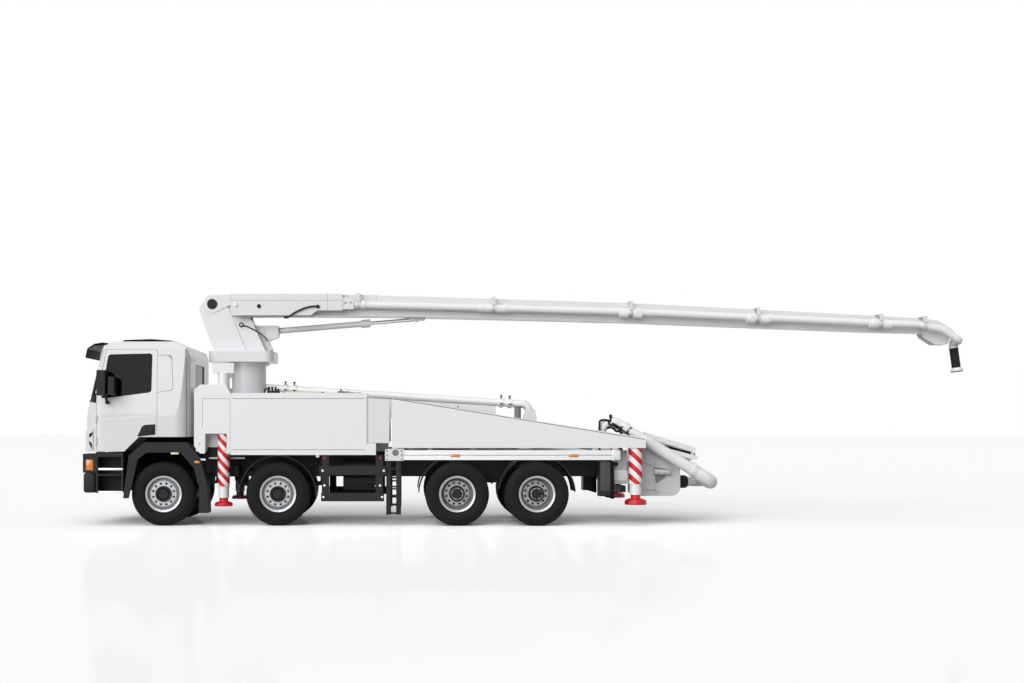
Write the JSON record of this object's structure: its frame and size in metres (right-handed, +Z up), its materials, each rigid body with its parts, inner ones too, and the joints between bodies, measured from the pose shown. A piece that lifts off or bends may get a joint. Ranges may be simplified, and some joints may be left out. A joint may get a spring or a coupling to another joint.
{
  "type": "truck-mounted concrete pump",
  "caption": "Truck with a tilting cab, steered and driven axles, fold-out outriggers, a slewing and luffing boom with its concrete pipe, a pump and a rear hopper.",
  "frame": {"origin": "on the ground, at the middle of the whole length and width", "axes": "+X towards the rear and the boom tip, +Y to the right side of the truck, +Z up"},
  "size_m": [15.4794, 3.12, 4.028],
  "materials": {
    "white_paint": "semi-gloss",
    "cab_paint": "gloss",
    "black_paint": "semi-gloss",
    "dark_plastic": "matte",
    "black_gloss_plastic": "gloss",
    "engine_iron": "satin",
    "axle_iron": "satin",
    "rail_aluminium": "satin",
    "rim_steel": "semi-gloss",
    "tyre_rubber": "matte",
    "hose_rubber": "matte",
    "window_glass": "gloss",
    "rod_chrome": "polished",
    "cab_trim": "matte",
    "red_paint": "semi-gloss",
    "amber_lens": "gloss",
    "red_lens": "gloss",
    "clear_lens": "gloss",
    "zinc_steel": "satin"
  },
  "bodies": {
    "chassis": {"chassis_frame": "black_paint", "engine_block": "engine_iron", "front_bumper": "dark_plastic", "mudguards": "dark_plastic", "axles": "axle_iron", "deck": "white_paint", "front_support": "white_paint", "support_wings": "white_paint", "side_panels": "white_paint", "side_rails": "rail_aluminium", "side_guards": "black_paint", "tanks": "black_paint", "hopper": "white_paint", "pump_cylinders": "white_paint", "delivery_line": "white_paint"},
    "cab": {"cab_shell": "cab_paint", "sun_visor": "black_gloss_plastic", "cab_glass": "window_glass", "cab_interior": "cab_trim"},
    "turret": {"turret": "white_paint"},
    "boom": {"boom_arm": "white_paint", "boom_pipe": "white_paint"},
    "end_hose": {"end_hose": "hose_rubber"},
    "lift_barrel": {"lift_barrel": "white_paint"},
    "lift_rod": {"lift_rod": "rod_chrome"},
    "hopper_grate": {"hopper_grate": "white_paint"},
    "wheel_1_left": {"tyre_1_left": "tyre_rubber", "rim_1_left": "rim_steel"},
    "knuckle_1_left": {"knuckle_1_left": "axle_iron"},
    "wheel_1_right": {"tyre_1_right": "tyre_rubber", "rim_1_right": "rim_steel"},
    "knuckle_1_right": {"knuckle_1_right": "axle_iron"},
    "wheel_2_left": {"tyre_2_left": "tyre_rubber", "rim_2_left": "rim_steel"},
    "knuckle_2_left": {"knuckle_2_left": "axle_iron"},
    "wheel_2_right": {"tyre_2_right": "tyre_rubber", "rim_2_right": "rim_steel"},
    "knuckle_2_right": {"knuckle_2_right": "axle_iron"},
    "wheel_3_left": {"tyre_3_left": "tyre_rubber", "rim_3_left": "rim_steel"},
    "wheel_3_right": {"tyre_3_right": "tyre_rubber", "rim_3_right": "rim_steel"},
    "wheel_4_left": {"tyre_4_left": "tyre_rubber", "rim_4_left": "rim_steel"},
    "wheel_4_right": {"tyre_4_right": "tyre_rubber", "rim_4_right": "rim_steel"},
    "door_left": {"door_left": "cab_paint", "door_glass_left": "window_glass", "mirror_left": "dark_plastic"},
    "door_right": {"door_right": "cab_paint", "door_glass_right": "window_glass", "mirror_right": "dark_plastic"},
    "front_outrigger_left": {"front_beam_left": "white_paint"},
    "front_jack_left": {"front_leg_left": "rod_chrome"},
    "rear_outrigger_left": {"rear_arm_left": "white_paint"},
    "rear_jack_left": {"rear_leg_left": "rod_chrome"},
    "front_outrigger_right": {"front_beam_right": "white_paint"},
    "front_jack_right": {"front_leg_right": "rod_chrome"},
    "rear_outrigger_right": {"rear_arm_right": "white_paint"},
    "rear_jack_right": {"rear_leg_right": "rod_chrome"}
  },
  "joints": [
    {"name": "steer_1_left", "type": "hinge", "parent": "chassis", "child": "knuckle_1_left", "pos_m": [-6.2997, -0.88, 0.54], "axis": [0, 0, 1], "range_deg": [-35, 35]},
    {"name": "wheel_spin_1_left", "type": "hinge", "parent": "knuckle_1_left", "child": "wheel_1_left", "pos_m": [-6.2997, -1.032, 0.54], "axis": [0, 1, 0], "continuous": true},
    {"name": "steer_1_right", "type": "hinge", "parent": "chassis", "child": "knuckle_1_right", "pos_m": [-6.2997, 0.88, 0.54], "axis": [0, 0, 1], "range_deg": [-35, 35]},
    {"name": "wheel_spin_1_right", "type": "hinge", "parent": "knuckle_1_right", "child": "wheel_1_right", "pos_m": [-6.2997, 1.032, 0.54], "axis": [0, 1, 0], "continuous": true},
    {"name": "steer_2_left", "type": "hinge", "parent": "chassis", "child": "knuckle_2_left", "pos_m": [-4.3597, -0.88, 0.54], "axis": [0, 0, 1], "range_deg": [-24, 24]},
    {"name": "wheel_spin_2_left", "type": "hinge", "parent": "knuckle_2_left", "child": "wheel_2_left", "pos_m": [-4.3597, -1.032, 0.54], "axis": [0, 1, 0], "continuous": true},
    {"name": "steer_2_right", "type": "hinge", "parent": "chassis", "child": "knuckle_2_right", "pos_m": [-4.3597, 0.88, 0.54], "axis": [0, 0, 1], "range_deg": [-24, 24]},
    {"name": "wheel_spin_2_right", "type": "hinge", "parent": "knuckle_2_right", "child": "wheel_2_right", "pos_m": [-4.3597, 1.032, 0.54], "axis": [0, 1, 0], "continuous": true},
    {"name": "wheel_spin_3_left", "type": "hinge", "parent": "chassis", "child": "wheel_3_left", "pos_m": [-1.3197, -0.914, 0.54], "axis": [0, 1, 0], "continuous": true},
    {"name": "wheel_spin_3_right", "type": "hinge", "parent": "chassis", "child": "wheel_3_right", "pos_m": [-1.3197, 0.914, 0.54], "axis": [0, 1, 0], "continuous": true},
    {"name": "wheel_spin_4_left", "type": "hinge", "parent": "chassis", "child": "wheel_4_left", "pos_m": [0.0303, -0.914, 0.54], "axis": [0, 1, 0], "continuous": true},
    {"name": "wheel_spin_4_right", "type": "hinge", "parent": "chassis", "child": "wheel_4_right", "pos_m": [0.0303, 0.914, 0.54], "axis": [0, 1, 0], "continuous": true},
    {"name": "cab_tilt", "type": "hinge", "parent": "chassis", "child": "cab", "pos_m": [-7.5597, 0, 0.95], "axis": [0, -1, 0], "range_deg": [0, 60]},
    {"name": "door_hinge_left", "type": "hinge", "parent": "cab", "child": "door_left", "pos_m": [-7.4247, -1.25, 1.6], "axis": [0, 0, -1], "range_deg": [0, 70]},
    {"name": "door_hinge_right", "type": "hinge", "parent": "cab", "child": "door_right", "pos_m": [-7.4247, 1.25, 1.6], "axis": [0, 0, 1], "range_deg": [0, 70]},
    {"name": "slew", "type": "hinge", "parent": "chassis", "child": "turret", "pos_m": [-4.9837, 0, 2.815], "axis": [0, 0, 1], "range_deg": [-180, 180]},
    {"name": "luff", "type": "hinge", "parent": "turret", "child": "boom", "pos_m": [-5.5997, 0, 3.838], "axis": [0, -1, 0], "range_deg": [0, 80]},
    {"name": "lift_barrel_swing", "type": "hinge", "parent": "turret", "child": "lift_barrel", "pos_m": [-4.7327, 0, 3.363], "axis": [0, -1, 0], "range_deg": [0, 85.4]},
    {"name": "lift_rod_slide", "type": "slide", "parent": "lift_barrel", "child": "lift_rod", "axis": [0.9966, 0, 0.0828], "range_m": [0, 1.236]},
    {"name": "hose_swivel", "type": "hinge", "parent": "boom", "child": "end_hose", "pos_m": [7.5603, 0, 3.19], "axis": [0, -1, 0], "range_deg": [-90, 60]},
    {"name": "front_outrigger_slide_left", "type": "slide", "parent": "chassis", "child": "front_outrigger_left", "axis": [0, -1, 0], "range_m": [0, 1.5]},
    {"name": "front_jack_slide_left", "type": "slide", "parent": "front_outrigger_left", "child": "front_jack_left", "axis": [0, 0, -1], "range_m": [0, 0.33]},
    {"name": "rear_outrigger_hinge_left", "type": "hinge", "parent": "chassis", "child": "rear_outrigger_left", "pos_m": [-2.3647, -1.18, 1.6], "axis": [0, 0, -1], "range_deg": [0, 90]},
    {"name": "rear_jack_slide_left", "type": "slide", "parent": "rear_outrigger_left", "child": "rear_jack_left", "axis": [0, 0, -1], "range_m": [0, 0.355]},
    {"name": "front_outrigger_slide_right", "type": "slide", "parent": "chassis", "child": "front_outrigger_right", "axis": [0, 1, 0], "range_m": [0, 1.5]},
    {"name": "front_jack_slide_right", "type": "slide", "parent": "front_outrigger_right", "child": "front_jack_right", "axis": [0, 0, -1], "range_m": [0, 0.33]},
    {"name": "rear_outrigger_hinge_right", "type": "hinge", "parent": "chassis", "child": "rear_outrigger_right", "pos_m": [-2.3647, 1.18, 1.6], "axis": [0, 0, 1], "range_deg": [0, 90]},
    {"name": "rear_jack_slide_right", "type": "slide", "parent": "rear_outrigger_right", "child": "rear_jack_right", "axis": [0, 0, -1], "range_m": [0, 0.355]},
    {"name": "grate_hinge", "type": "hinge", "parent": "chassis", "child": "hopper_grate", "pos_m": [1.8503, 0, 1.55], "axis": [0, -1, 0], "range_deg": [0, 100]}
  ],
  "couplings": [
    {"joint": "steer_1_right", "follows": "steer_1_left", "ratio": 1},
    {"joint": "steer_2_left", "follows": "steer_1_left", "ratio": 0.68},
    {"joint": "steer_2_right", "follows": "steer_1_left", "ratio": 0.68},
    {"joint": "lift_barrel_swing", "follows": "luff", "ratio": 1.0652},
    {"joint": "lift_rod_slide", "follows": "luff", "m_per_rad": 0.88438}
  ]
}
